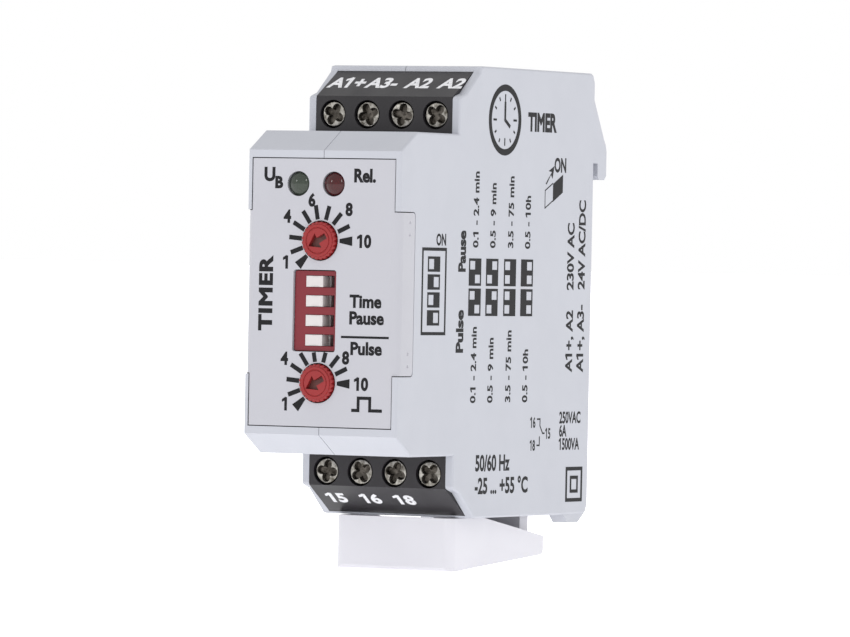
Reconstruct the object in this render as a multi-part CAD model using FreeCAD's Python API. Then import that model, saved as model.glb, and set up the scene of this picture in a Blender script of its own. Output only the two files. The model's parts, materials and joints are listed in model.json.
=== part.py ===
import FreeCAD, Part
import math
import os

# DIN rail timer relay, 22.5 mm wide.
# X runs across the width, +X to the right of someone facing the front panel.
# Y runs from the front panel to the rail, Z is up.
# The origin is the centre of the rail seat: the middle of a 35 mm rail, on the plane of its lips.

V = FreeCAD.Vector

# ---- driving dimensions, mm ----

WIDTH = 22.5
HALF = WIDTH / 2
WALL = 1.1
INNER = HALF - WALL
TOP = 30.1
BOTTOM = -29.3
DEPTH = 55.5
LAND = 0.25
FRONT = -(DEPTH + LAND)
REAR = -LAND
SEAM = 0.04
EDGE_ROUND = 0.3
RIB_WIDE = 1.0
RIB_HIGH = 0.7
RIB_GAP = 0.04
BOSS_R = 1.9
PEG_R = 1.0
SOCKET_R = 1.05
GAP = 0.13

NOSE_HALF = 21.05
FACE_HALF = 18.45
NOSE_SLOPE = 4.5
TERMINAL_DEPTH = 16.25
LABEL_DEPTH = 22.0
SHOULDER = {1: 26.0, -1: 25.5}
CREST = {1: 29.3, -1: 28.95}
OUTER = {1: TOP, -1: -BOTTOM}
LIP_BACK = LABEL_DEPTH + 0.8
LIP_GAP = 0.05

PLATE_THICK = 1.2
PLATE_HALF_X = 10.46
PLATE_HALF_Z = 17.35
EAR_HALF_Z = 10.55
EAR_DEPTH = 4.3
EAR_ROUND = 1.2
EAR_CORNER = 0.6
DIMPLE_DEPTH = 2.9
DIMPLE_R = 0.24
DIMPLE_Z = (9.3, 7.7, -7.7, -9.3)
NOSE_ROUND = 0.5

RAIL_HALF = 17.5
HOOK_HALF_X = 11.0
HOOK_DEPTH = 4.2
HOOK_TIP_Z = 15.8
HOOK_SLOT = 1.6
HOOK_SLOT_TOP = RAIL_HALF + 0.5
HOOK_ROOT_Z = 27.4
HOOK_PEG_X = 5.5
HOOK_PEG_Z = 22.5
HOOK_PEG_R = 0.9
HOOK_PEG_LONG = 1.6
LAND_Z = 15.5
NUB_X = (8.9, HALF - 0.15)
NUB_Z = BOTTOM - 1.1

POLES = 4
POLE_PITCH = 5.08
SCREW_Z = 23.5
BLOCK_FLOOR = 21.1
BLOCK_BACK = 28.7
CAVITY_HALF_X = 2.15
CAVITY_FRONT = 18.35
CAVITY_BACK = 28.0
CAVITY_LOW = 21.95
CAVITY_HIGH = 25.6
RECESS_R = 1.88
WIRE_R = 1.7
SLOT_X = (6.2, 8.3)
WIRE_DEPTH = 25.4
HEAD_R = 1.68
HEAD_FRONT = 16.5
HEAD_THICK = 1.3
CROSS_HALF = 0.36
CROSS_REACH = 1.32
CROSS_DEEP = 0.8
SHANK_R = 1.2
SHANK_END = 23.4
CAGE_HALF_X = 2.0
CAGE_FRONT = 20.7
CAGE_BACK = 27.7
CAGE_SHEET = 0.55
CAGE_PLATE = 0.95
BAR_FRONT = 23.45
BAR_THICK = 0.8
PIN_Z = 21.3
PIN_THICK = 0.5
PIN_HALF = 0.5
TURNS = {1: (28, -20, 12, 36), -1: (8, -32, 20, 41)}

DIAL_X = -0.35
DIAL_Z = (6.75, -11.7)
KNOB_R = 2.48
KNOB_TEETH = 24
KNOB_PROUD = 0.7
KNOB_HOLE_R = 2.62
KNOB_POINTER = -119.0
TOOTH_R = 0.2
TOOTH_LONG = 0.85
RING_R = (1.62, 1.75, 2.1)
RING_DEEP = 0.15
ARROW_DEEP = 0.8
STEM_R = 1.5
WIPER_R = 2.4
TRIMMER_HALF = 3.2
TRIMMER_PINS = ((-2.5, -2.5), (2.5, -2.5), (0, 2.5))
POST_HALF = 0.25

LED_Z = 14.1
LED_X = (-3.7, 1.5)
LED_R = 1.5
LED_HOLE_R = 1.62
LED_TIP = -0.35
LED_NECK = 0.3
LED_COLLAR_R = 1.9
LED_COLLAR = (4.3, 5.3)
LED_LEAD_X = 1.27

DIP_PITCH = 2.54
DIP_Z = -2.35
DIP_X = (-4.05, 2.0)
DIP_HALF_Z = 5.18
DIP_FACE = 0.35
DIP_PIN_X = (DIP_X[0] + 0.6, DIP_X[1] - 0.6)
SLIDER_X = (-2.34, 0.12)
SLIDER_HALF_Z = 0.71
SLIDER_TRAVEL = 1.55
SADDLE_R = 2.4
SADDLE_DEEP = 0.42
PIN_PROUD = 0.8

FRONT_BOARD = (6.7, 8.3)
MAIN_BOARD = (30.5, 32.1)
BOARD_HALF_X = 9.95
LINK_Z = -16.4
LINK_PINS = 7
LINK_PITCH = 2.54
RELAY = {"x": (-9.3, 3.2), "z": (-11.5, 17.0), "high": 15.5}
FILM_CAP = {"x": (3.7, 9.3), "z": (-12.5, 3.5), "high": 12.0}
ELKO = {"x": 6.3, "z": 7.8, "r": 3.0, "high": 11.0}
VARISTOR = {"x": -1.6, "z": 20.5, "r": 2.9, "thick": 3.2}
RESISTOR_Z = (-14.2, -18.5, -23.6, -26.0)

LATCH_HALF_X = 8.7
LATCH_CORNER = 1.3
LATCH_FRONT = 21.0
LATCH_REAR = 47.8
LATCH_TOP = BOTTOM - 0.1
LATCH_LOW_FRONT = -36.4
LATCH_LOW_REAR = -34.7
LATCH_WALL = 1.0
LATCH_SKIN = 0.4
STEM_HALF_X = 6.5
STEM_DEPTH = (45.0, 47.4)
ARM_HALF_X = 5.0
ARM_Z = (-20.6, -18.0)
LATCH_TRAVEL = 4.2
SPRING_R = 1.75
SPRING_WIRE = 0.4
SPRING_TURNS = 5.5
SPRING_SIDES = 8
SPRING_Y = -4.9


def at(depth):
    """Y of a plane that lies depth mm behind the front of the nose."""
    return FRONT + depth


def box(x0, x1, y0, y1, z0, z1):
    return Part.makeBox(x1 - x0, y1 - y0, z1 - z0, V(x0, y0, z0))


def cylinder_y(x, z, y0, y1, radius):
    return Part.makeCylinder(radius, y1 - y0, V(x, y0, z), V(0, 1, 0))


def cylinder_z(x, y, z0, z1, radius):
    return Part.makeCylinder(radius, z1 - z0, V(x, y, z0), V(0, 0, 1))


def prism_x(points, x0, x1):
    """Extrudes a closed outline of (y, z) points from x0 to x1."""
    corners = [V(x0, y, z) for y, z in points]
    face = Part.Face(Part.makePolygon(corners + corners[:1]))
    return face.extrude(V(x1 - x0, 0, 0))


def prism_y(points, y0, y1):
    """Extrudes a closed outline of (x, z) points from y0 to y1."""
    corners = [V(x, y0, z) for x, z in points]
    face = Part.Face(Part.makePolygon(corners + corners[:1]))
    return face.extrude(V(0, y1 - y0, 0))


def prism_z(points, z0, z1):
    """Extrudes a closed outline of (x, y) points from z0 to z1."""
    corners = [V(x, y, z0) for x, y in points]
    face = Part.Face(Part.makePolygon(corners + corners[:1]))
    return face.extrude(V(0, 0, z1 - z0))


def fuse(shapes):
    return shapes[0].multiFuse(shapes[1:]).removeSplitter()


def round_edges(shape, radius, chosen):
    """Rounds the edges for which chosen(middle, edge) is true."""
    edges = [e for e in shape.Edges if chosen(e.CenterOfMass, e)]
    return shape.makeFillet(radius, edges)


def spin_y(shape, degrees, x, z):
    turned = shape.copy()
    turned.rotate(V(x, 0, z), V(0, 1, 0), degrees)
    return turned


def pole_x(index):
    return POLE_PITCH * (index - (POLES - 1) / 2)


def wire_hole(side, index, z0, z1):
    """Wire entry of one pole; the lower outer two are narrow slots, clear of the latch's side walls."""
    x = pole_x(index)
    y = at(WIRE_DEPTH)
    if side == 1 or abs(x) < POLE_PITCH:
        return cylinder_z(x, y, z0, z1, WIRE_R)
    slot = box(SLOT_X[0], SLOT_X[1], y - WIRE_R, y + WIRE_R, z0, z1)
    if x > 0:
        return slot
    return slot.mirror(V(0, 0, 0), V(1, 0, 0))


# ---- housing ----

def outline(side):
    """Outline of the housing's side from the nose to the rear edge; side is 1 above, -1 below."""
    shoulder = SHOULDER[side]
    crest = CREST[side]
    outer = OUTER[side]
    return [
        (FRONT, side * FACE_HALF),
        (at(NOSE_SLOPE), side * NOSE_HALF),
        (at(TERMINAL_DEPTH), side * NOSE_HALF),
        (at(TERMINAL_DEPTH), side * (shoulder - 0.45)),
        (at(TERMINAL_DEPTH + 0.15), side * (shoulder - 0.15)),
        (at(TERMINAL_DEPTH + 0.5), side * shoulder),
        (at(TERMINAL_DEPTH + 1.9), side * (shoulder + 0.4)),
        (at(LABEL_DEPTH), side * crest),
        (at(LABEL_DEPTH + 0.25), side * (outer - 0.1)),
        (at(LABEL_DEPTH + 0.8), side * outer),
        (REAR - 0.8, side * outer),
        (REAR - 0.25, side * (outer - 0.25)),
        (REAR, side * (outer - 0.8)),
    ]


def interior():
    """Hollow of the housing, open towards both rows of terminals."""
    half = []
    for side in (1, -1):
        half.append([
            (at(2.3), side * 17.2),
            (at(NOSE_SLOPE + 0.4), side * (NOSE_HALF - WALL)),
            (at(TERMINAL_DEPTH + 2.6), side * (NOSE_HALF - WALL)),
            (at(TERMINAL_DEPTH + 2.6), side * NOSE_HALF),
            (at(TERMINAL_DEPTH - 1), side * NOSE_HALF),
            (at(TERMINAL_DEPTH - 1), side * (OUTER[side] + 1)),
            (at(LABEL_DEPTH + 0.1), side * (OUTER[side] + 1)),
            (at(LABEL_DEPTH + 0.1), side * (CREST[side] + LIP_GAP)),
            (at(LIP_BACK), side * (CREST[side] + LIP_GAP)),
            (at(LIP_BACK), side * (OUTER[side] - WALL)),
            (REAR - WALL, side * (OUTER[side] - WALL)),
        ])
    return prism_x(half[0] + half[1][::-1], -INNER, INNER)


def rounded_envelope(radius):
    """Tall block with the nose's plan, its two front corners rounded."""
    block = box(-HALF, HALF, FRONT, 8, -45, 40)
    return round_edges(
        block, radius, lambda m, e: abs(m.y - FRONT) < 1e-3 and abs(abs(m.x) - HALF) < 1e-3
    )


def hook_pegs(radius):
    """Two pegs that hold the hook in the rear wall, one for each shell."""
    start = REAR - HOOK_PEG_LONG
    return [cylinder_y(x, HOOK_PEG_Z, start, REAR + 0.1, radius) for x in (-HOOK_PEG_X, HOOK_PEG_X)]


def rail_hook():
    """Fixed upper hook; the rail's top lip goes up into its slot."""
    hook = prism_x(
        [
            (REAR, HOOK_ROOT_Z),
            (3.35, 21.3),
            (3.95, 20.5),
            (HOOK_DEPTH, 19.6),
            (HOOK_DEPTH, HOOK_TIP_Z + 0.6),
            (HOOK_DEPTH - 0.55, HOOK_TIP_Z),
            (HOOK_SLOT + 0.45, HOOK_TIP_Z),
            (HOOK_SLOT, HOOK_TIP_Z + 0.5),
            (HOOK_SLOT, HOOK_SLOT_TOP),
            (REAR, HOOK_SLOT_TOP),
        ],
        -HOOK_HALF_X,
        HOOK_HALF_X,
    )
    return fuse([hook] + hook_pegs(HOOK_PEG_R))


def peg_places():
    """Where the two shells are pinned together, as (y, z)."""
    return [(-4.6, 25.2), (-18.5, 25.6), (-18.0, -25.4), (at(14.5), 0.0)]


def board_ribs():
    """Ribs on both side walls that hold the edges of the two boards."""
    ribs = []
    for faces, reach in ((FRONT_BOARD, 12.0), (MAIN_BOARD, 18.0)):
        front = (at(faces[0]) - RIB_WIDE, at(faces[0]) - RIB_GAP)
        behind = (at(faces[1]) + RIB_GAP, at(faces[1]) + RIB_WIDE)
        for y0, y1 in (front, behind):
            ribs.append(box(-INNER - 0.1, -INNER + RIB_HIGH, y0, y1, -reach, reach))
            ribs.append(box(INNER - RIB_HIGH, INNER + 0.1, y0, y1, -reach, reach))
    return ribs


def plate_outline(grow):
    """Cross-shaped front of the snap-on plate, grown by a clearance, as (x, z) points."""
    x = PLATE_HALF_X + grow
    z = PLATE_HALF_Z + grow
    ear = EAR_HALF_Z + grow
    right = [(x, z), (x, ear), (HALF + 1, ear), (HALF + 1, -ear), (x, -ear), (x, -z)]
    return right + [(-px, -pz) for px, pz in right]


def ear(side, grow):
    """Side lug of the front plate, grown by a clearance, its two rear corners rounded."""
    x0, x1 = sorted((side * (INNER - 0.3 * grow), side * (HALF + 1)))
    lug = box(x0, x1, FRONT - 1, at(EAR_DEPTH + grow), -EAR_HALF_Z - grow, EAR_HALF_Z + grow)
    return round_edges(
        lug,
        EAR_CORNER,
        lambda m, e: abs(m.y - at(EAR_DEPTH + grow)) < 1e-3 and e.BoundBox.XLength > 1,
    )


def housing():
    """Both shells in one piece, before they are parted at the seam."""
    body = prism_x(outline(1) + outline(-1)[::-1], -HALF, HALF)
    body = round_edges(
        body,
        EDGE_ROUND,
        lambda m, e: abs(abs(m.x) - HALF) < 1e-3 and m.y < REAR - 0.01 and m.y > FRONT + 0.01,
    )
    body = body.common(rounded_envelope(NOSE_ROUND))
    nubs = []
    for side in (1, -1):
        x0, x1 = sorted((side * NUB_X[0], side * NUB_X[1]))
        nubs.append(prism_x(
            [(-7.3, BOTTOM + 0.3), (-5.7, NUB_Z), (-2.6, NUB_Z), (-0.5, BOTTOM + 0.3)], x0, x1,
        ))
    lands = [
        box(-HOOK_HALF_X, HOOK_HALF_X, REAR - 0.3, 0, LAND_Z, HOOK_SLOT_TOP),
        box(-HOOK_HALF_X, HOOK_HALF_X, REAR - 0.3, 0, -HOOK_SLOT_TOP, -LAND_Z),
    ]
    body = fuse([body] + lands + nubs)
    body = body.cut(interior())
    bosses = []
    for y, z in peg_places():
        bosses.append(Part.makeCylinder(BOSS_R, 2 * INNER + 0.2, V(-INNER - 0.1, y, z), V(1, 0, 0)))
    body = fuse([body] + bosses + board_ribs())
    return body.cut(Part.makeCompound(housing_openings()))


def housing_openings():
    """Everything that is cut through the housing's walls."""
    cuts = [
        prism_y(plate_outline(GAP), FRONT - 1, at(PLATE_THICK + GAP)),
        box(-9.6, 9.6, FRONT - 1, at(3.5), -16.4, 16.4),
    ]
    cuts += [ear(side, GAP) for side in (1, -1)]
    cuts += hook_pegs(HOOK_PEG_R + 0.06)
    for index in range(POLES):
        cuts.append(wire_hole(1, index, 27, TOP + 1))
        cuts.append(wire_hole(-1, index, BOTTOM - 1, -27))
    stem = 0.2
    cuts.append(box(
        -STEM_HALF_X - stem, STEM_HALF_X + stem, at(STEM_DEPTH[0]) - stem, at(STEM_DEPTH[1]) + stem,
        BOTTOM - 1, BOTTOM + WALL + 1,
    ))
    cuts.append(box(
        -ARM_HALF_X - stem, ARM_HALF_X + stem, REAR - WALL - 1, 1,
        ARM_Z[0] - LATCH_TRAVEL - 0.3, ARM_Z[1] + 0.2,
    ))
    return cuts


def left_shell(body):
    """Left half, with the pegs that go into the right half."""
    shell = body.common(box(-HALF - 1, -SEAM, FRONT - 2, 12, -45, 40))
    pegs = [Part.makeCylinder(PEG_R, 4.0, V(-1.0, y, z), V(1, 0, 0)) for y, z in peg_places()]
    return fuse([shell] + pegs)


def right_shell(body):
    """Right half, with the sockets for the left half's pegs."""
    shell = body.common(box(SEAM, HALF + 1, FRONT - 2, 12, -45, 40))
    sockets = [Part.makeCylinder(SOCKET_R, 3.4, V(0, y, z), V(1, 0, 0)) for y, z in peg_places()]
    return shell.cut(Part.makeCompound(sockets))


def front_plate():
    """Snap-on plate with windows; its two ears wrap round the nose's sides."""
    plate = prism_y(plate_outline(0), FRONT, at(PLATE_THICK))
    plate = fuse([plate] + [ear(side, 0) for side in (1, -1)]).common(rounded_envelope(EAR_ROUND))
    x0, x1 = DIP_X
    window = box(
        x0 - GAP, x1 + GAP, FRONT - 1, at(3), DIP_Z - DIP_HALF_Z - GAP, DIP_Z + DIP_HALF_Z + GAP,
    )
    holes = [round_edges(window, 0.35, lambda m, e: e.BoundBox.YLength > 3)]
    for z in DIMPLE_Z:
        for side in (1, -1):
            holes.append(Part.makeSphere(DIMPLE_R, V(side * (HALF + 0.08), at(DIMPLE_DEPTH), z)))
    for z in DIAL_Z:
        holes.append(cylinder_y(DIAL_X, z, FRONT - 1, at(3), KNOB_HOLE_R))
    for x in LED_X:
        holes.append(cylinder_y(x, LED_Z, FRONT - 1, at(3), LED_HOLE_R))
    return plate.cut(Part.makeCompound(holes))


# ---- terminals ----

def mirrored(shape, side):
    """The upper row as it is for side 1, or turned over for the lower row."""
    if side == 1:
        return shape
    return shape.mirror(V(0, 0, 0), V(0, 0, 1))


def terminal_block(side):
    """Insulating block with four clamp chambers, screw recesses and wire holes."""
    wall = OUTER[side] - WALL - LIP_GAP
    block = prism_x(
        [
            (at(TERMINAL_DEPTH) + 0.05, BLOCK_FLOOR),
            (at(TERMINAL_DEPTH) + 0.05, SHOULDER[side] - 0.1),
            (at(LABEL_DEPTH), CREST[side]),
            (at(LIP_BACK) - LIP_GAP, CREST[side]),
            (at(LIP_BACK) - LIP_GAP, wall),
            (at(BLOCK_BACK), wall),
            (at(BLOCK_BACK), BLOCK_FLOOR),
        ],
        -INNER + LIP_GAP,
        INNER - LIP_GAP,
    )
    low = BLOCK_FLOOR - 1
    high = CAVITY_LOW + 0.1
    slot_front = at(BAR_FRONT) - 0.1
    slot_back = at(BAR_FRONT) + 1.0
    cuts = []
    for index in range(POLES):
        x = pole_x(index)
        cuts.append(box(
            x - CAVITY_HALF_X, x + CAVITY_HALF_X,
            at(CAVITY_FRONT), at(CAVITY_BACK), CAVITY_LOW, CAVITY_HIGH,
        ))
        cuts.append(cylinder_y(x, SCREW_Z, at(TERMINAL_DEPTH) - 1, at(CAVITY_FRONT) + 0.5, RECESS_R))
        cuts.append(wire_hole(side, index, CAVITY_HIGH - 0.5, wall + 1))
        cuts.append(box(x - 0.6, x + 0.6, slot_front, at(BLOCK_BACK) + 1, low, high))
        cuts.append(box(x - 1.5, x + 1.5, slot_front, slot_back, low, high))
    return mirrored(block.cut(Part.makeCompound(cuts)), side)


def terminal_screw(side, index, turn):
    """Captive clamp screw with a combined slot and cross recess, at its own angle."""
    x = pole_x(index)
    head = cylinder_y(x, SCREW_Z, at(HEAD_FRONT), at(HEAD_FRONT + HEAD_THICK), HEAD_R)
    head = round_edges(head, 0.3, lambda m, e: abs(m.y - at(HEAD_FRONT)) < 1e-3 and e.Length > 3)
    arms = []
    for angle in (0, 90):
        arm = box(
            x - CROSS_REACH, x + CROSS_REACH, at(HEAD_FRONT) - 1, at(HEAD_FRONT + CROSS_DEEP),
            SCREW_Z - CROSS_HALF, SCREW_Z + CROSS_HALF,
        )
        arms.append(spin_y(arm, angle, x, SCREW_Z))
    middle_r = 2 * CROSS_HALF
    arms.append(cylinder_y(x, SCREW_Z, at(HEAD_FRONT) - 1, at(HEAD_FRONT + CROSS_DEEP + 0.15), middle_r))
    head = head.cut(fuse(arms))
    shank = cylinder_y(x, SCREW_Z, at(HEAD_FRONT + HEAD_THICK) - 0.1, at(SHANK_END), SHANK_R)
    screw = spin_y(fuse([head, shank]), turn, x, SCREW_Z)
    return mirrored(screw, side)


def clamp_cage(side, index):
    """Square steel ring that rises along the screw and lifts the wire against the bar."""
    x = pole_x(index)
    z0 = CAVITY_LOW + 0.1
    z1 = CAVITY_HIGH - 0.2
    inside = CAGE_HALF_X - CAGE_SHEET
    plate_back = at(CAGE_FRONT + CAGE_PLATE)
    cage = box(x - CAGE_HALF_X, x + CAGE_HALF_X, at(CAGE_FRONT), at(CAGE_BACK), z0, z1)
    window = box(x - inside, x + inside, plate_back, at(CAGE_BACK - CAGE_PLATE), z0 - 1, z1 + 1)
    thread = cylinder_y(x, SCREW_Z, at(CAGE_FRONT) - 1, plate_back + 1, SHANK_R + 0.06)
    return mirrored(cage.cut(window).cut(thread), side)


def current_bars(side):
    """Four fixed bars that the wires are clamped to, each ending in a pin through the main board."""
    bars = []
    for index in range(POLES):
        x = pole_x(index)
        plate = box(
            x - 1.3, x + 1.3, at(BAR_FRONT), at(BAR_FRONT + BAR_THICK), PIN_Z, CAVITY_HIGH - 0.4,
        )
        pin = box(
            x - PIN_HALF, x + PIN_HALF, at(BAR_FRONT), at(MAIN_BOARD[1] + 1.2), PIN_Z, PIN_Z + PIN_THICK,
        )
        bars.append(mirrored(fuse([plate, pin]), side))
    return Part.makeCompound(bars)


# ---- front controls ----

def knob(z):
    """Adjusting knob, its stem and the wiper disc inside the trimmer."""
    face = FRONT - KNOB_PROUD
    back = at(PLATE_THICK + 0.4)
    cap = cylinder_y(DIAL_X, z, face, back, KNOB_R)
    cap = round_edges(cap, 0.2, lambda m, e: abs(m.y - face) < 1e-3 and e.Length > 5)
    cuts = []
    around = KNOB_R + 0.08
    for index in range(KNOB_TEETH):
        angle = 2 * math.pi * index / KNOB_TEETH
        cuts.append(cylinder_y(
            DIAL_X + around * math.sin(angle), z + around * math.cos(angle),
            face - 1, face + TOOTH_LONG, TOOTH_R,
        ))
    groove = cylinder_y(DIAL_X, z, face - 1, face + RING_DEEP, RING_R[1])
    groove = groove.cut(cylinder_y(DIAL_X, z, face - 2, face + 1, RING_R[0]))
    step = cylinder_y(DIAL_X, z, face - 1, face + RING_DEEP, KNOB_R + 1)
    step = step.cut(cylinder_y(DIAL_X, z, face - 2, face + 1, RING_R[2]))
    right = [(0.4, -1.33), (0.4, -0.05), (1.05, -0.05)]
    arrow = prism_y(
        [(DIAL_X + x, z + dz) for x, dz in right]
        + [(DIAL_X, z + 1.55)]
        + [(DIAL_X - x, z + dz) for x, dz in reversed(right)],
        face - 1,
        face + ARROW_DEEP,
    )
    cuts += [groove, step, spin_y(arrow, KNOB_POINTER, DIAL_X, z)]
    cap = cap.cut(Part.makeCompound(cuts))
    stem = cylinder_y(DIAL_X, z, back - 0.1, at(4.6), STEM_R)
    wiper = cylinder_y(DIAL_X, z, at(4.5), at(5.7), WIPER_R)
    return fuse([cap, stem, wiper])


def front_pin(x, z, start):
    """Square pin from a start depth through the front board."""
    return box(
        x - POST_HALF, x + POST_HALF, at(start), at(FRONT_BOARD[1] + PIN_PROUD),
        z - POST_HALF, z + POST_HALF,
    )


def trimmer_body(z):
    """Square case of a trimmer, soldered to the front board, with a bore and a wiper chamber."""
    case = box(
        DIAL_X - TRIMMER_HALF, DIAL_X + TRIMMER_HALF, at(2.2), at(FRONT_BOARD[0]),
        z - TRIMMER_HALF, z + TRIMMER_HALF,
    )
    case = case.cut(cylinder_y(DIAL_X, z, at(1), at(5), STEM_R + 0.06))
    case = case.cut(cylinder_y(DIAL_X, z, at(4.3), at(5.9), WIPER_R + 0.15))
    pins = []
    for dx, dz in TRIMMER_PINS:
        pins.append(front_pin(DIAL_X + dx, z + dz, FRONT_BOARD[0] - 0.2))
    return fuse([case] + pins)


def slider_z(index):
    return DIP_Z + DIP_PITCH * (1.5 - index)


def dip_body():
    """Case of the four-way switch, with a slot for each slider."""
    case = box(
        DIP_X[0], DIP_X[1], at(DIP_FACE), at(FRONT_BOARD[0]), DIP_Z - DIP_HALF_Z, DIP_Z + DIP_HALF_Z,
    )
    case = round_edges(case, 0.3, lambda m, e: e.BoundBox.YLength > 3)
    cuts = []
    for index in range(4):
        z = slider_z(index)
        high = SLIDER_HALF_Z + 0.06
        end = SLIDER_X[1] + SLIDER_TRAVEL
        cuts.append(box(
            SLIDER_X[0] - 0.05, end + 0.05, at(DIP_FACE) - 1, at(3.2), z - high, z + high,
        ))
        cuts.append(box(SLIDER_X[0] - 0.75, end + 0.4, at(2.0), at(3.2), z - high, z + high))
    case = case.cut(Part.makeCompound(cuts))
    pins = []
    for x in DIP_PIN_X:
        for index in range(4):
            pins.append(front_pin(x, slider_z(index), FRONT_BOARD[0] - 0.2))
    return fuse([case] + pins)


def dip_slider(index):
    """One white slider: a saddle-shaped actuator on a wider foot that keeps it in the case."""
    z = slider_z(index)
    x0, x1 = SLIDER_X
    top = at(DIP_FACE - 0.25)
    middle = (x0 + x1) / 2
    actuator = box(x0, x1, top, at(2.6), z - SLIDER_HALF_Z, z + SLIDER_HALF_Z)
    saddle = cylinder_z(middle, top + SADDLE_DEEP - SADDLE_R, z - 2, z + 2, SADDLE_R)
    foot = box(x0 - 0.55, x1 + 0.2, at(2.1), at(3.1), z - SLIDER_HALF_Z, z + SLIDER_HALF_Z)
    return fuse([actuator.cut(saddle), foot])


def led(x):
    """Low-domed 3 mm lamp with a collar and two leads."""
    rise = LED_NECK - LED_TIP
    dome_r = (LED_R * LED_R + rise * rise) / (2 * rise)
    bulb = cylinder_y(x, LED_Z, at(LED_NECK), at(LED_COLLAR[0]) + 0.5, LED_R)
    dome = Part.makeSphere(dome_r, V(x, at(LED_TIP) + dome_r, LED_Z))
    dome = dome.common(cylinder_y(x, LED_Z, at(LED_TIP) - 1, at(LED_NECK) + 0.1, LED_R))
    collar = cylinder_y(x, LED_Z, at(LED_COLLAR[0]), at(LED_COLLAR[1]), LED_COLLAR_R)
    leads = [front_pin(x + dx, LED_Z, LED_COLLAR[1] - 0.1) for dx in (-LED_LEAD_X, LED_LEAD_X)]
    return fuse([bulb, dome, collar] + leads)


# ---- boards and what they carry ----

def link_x(index):
    return LINK_PITCH * (index - (LINK_PINS - 1) / 2)


def drill(board, places, faces, radius):
    holes = [cylinder_y(x, z, at(faces[0]) - 1, at(faces[1]) + 1, radius) for x, z in places]
    return board.cut(Part.makeCompound(holes))


def front_board():
    """Board behind the front plate that carries lamps, trimmers and the switch."""
    board = box(-BOARD_HALF_X, BOARD_HALF_X, at(FRONT_BOARD[0]), at(FRONT_BOARD[1]), -17.9, 17.9)
    places = [(x + dx, LED_Z) for x in LED_X for dx in (-LED_LEAD_X, LED_LEAD_X)]
    places += [(DIAL_X + dx, z + dz) for z in DIAL_Z for dx, dz in TRIMMER_PINS]
    places += [(x, slider_z(i)) for x in DIP_PIN_X for i in range(4)]
    board = drill(board, places, FRONT_BOARD, 0.42)
    return drill(board, [(link_x(i), LINK_Z) for i in range(LINK_PINS)], FRONT_BOARD, 0.5)


def relay_pin_places():
    x0, x1 = RELAY["x"]
    z0, z1 = RELAY["z"]
    middle = (x0 + x1) / 2
    coil = [(middle - 3.75, z0 + 2.5), (middle + 3.75, z0 + 2.5)]
    return coil + [(middle, z0 + 14), (middle, z0 + 19), (middle, z1 - 3)]


def main_board():
    """Board across the whole height; terminals solder to it in front, the supply and relay behind."""
    board = box(-BOARD_HALF_X, BOARD_HALF_X, at(MAIN_BOARD[0]), at(MAIN_BOARD[1]), -27.6, 28.4)
    pins = [(pole_x(i), side * (PIN_Z + PIN_THICK / 2)) for i in range(POLES) for side in (1, -1)]
    board = drill(board, pins, MAIN_BOARD, 0.65)
    board = drill(board, [(link_x(i), LINK_Z) for i in range(LINK_PINS)], MAIN_BOARD, 0.5)
    return drill(board, relay_pin_places(), MAIN_BOARD, 0.55)


def link_header():
    """Plastic strip that spaces the link pins on the main board."""
    half = LINK_PITCH * LINK_PINS / 2
    face = at(MAIN_BOARD[0])
    strip = box(-half, half, face - 2.5, face, LINK_Z - 1.25, LINK_Z + 1.25)
    holes = [cylinder_y(link_x(i), LINK_Z, face - 4, face + 1, 0.5) for i in range(LINK_PINS)]
    return strip.cut(Part.makeCompound(holes))


def link_pins():
    """Straight pins that join the two boards."""
    start = at(FRONT_BOARD[0] - 0.7)
    end = at(MAIN_BOARD[1] + 1.0)
    pins = []
    for index in range(LINK_PINS):
        x = link_x(index)
        pins.append(box(x - 0.3, x + 0.3, start, end, LINK_Z - 0.3, LINK_Z + 0.3))
    return Part.makeCompound(pins)


def relay_cover():
    """Sealed case of the output relay."""
    back = at(MAIN_BOARD[1])
    x0, x1 = RELAY["x"]
    z0, z1 = RELAY["z"]
    case = box(x0, x1, back + 0.3, back + RELAY["high"], z0, z1)
    case = round_edges(case, 0.5, lambda m, e: m.y > back + 1)
    return case.cut(box(x0 + 0.7, x1 - 0.7, back - 1, back + RELAY["high"] - 0.7, z0 + 0.7, z1 - 0.7))


def relay_base():
    """Base of the relay with its five pins."""
    back = at(MAIN_BOARD[1])
    x0, x1 = RELAY["x"]
    z0, z1 = RELAY["z"]
    base = box(x0 + 0.75, x1 - 0.75, back + 0.3, back + 2.3, z0 + 0.75, z1 - 0.75)
    start = at(MAIN_BOARD[0] - 1.0)
    pins = [
        box(x - 0.3, x + 0.3, start, back + 0.5, z - 0.3, z + 0.3)
        for x, z in relay_pin_places()
    ]
    return fuse([base] + pins)


def relay_coil():
    """Bobbin with its winding, standing on the relay's base."""
    back = at(MAIN_BOARD[1])
    x0, x1 = RELAY["x"]
    z0 = RELAY["z"][0]
    middle = (x0 + x1) / 2
    y = back + 8.0
    winding = Part.makeCylinder(4.2, 11.0, V(middle, y, z0 + 2.6), V(0, 0, 1))
    low = box(middle - 4.8, middle + 4.8, back + 2.35, y + 4.6, z0 + 1.4, z0 + 2.6)
    high = box(middle - 4.8, middle + 4.8, back + 2.35, y + 4.6, z0 + 13.6, z0 + 14.8)
    return fuse([winding, low, high])


def relay_contacts():
    """Fixed contact, changeover blade and fixed contact, side by side."""
    back = at(MAIN_BOARD[1])
    z0 = RELAY["z"][0]
    blades = []
    for offset, length in ((16.6, 9.0), (19.2, 10.5), (21.8, 9.0)):
        blades.append(box(-6.3, -0.3, back + 2.35, back + 2.35 + length, z0 + offset, z0 + offset + 0.5))
    return Part.makeCompound(blades)


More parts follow.
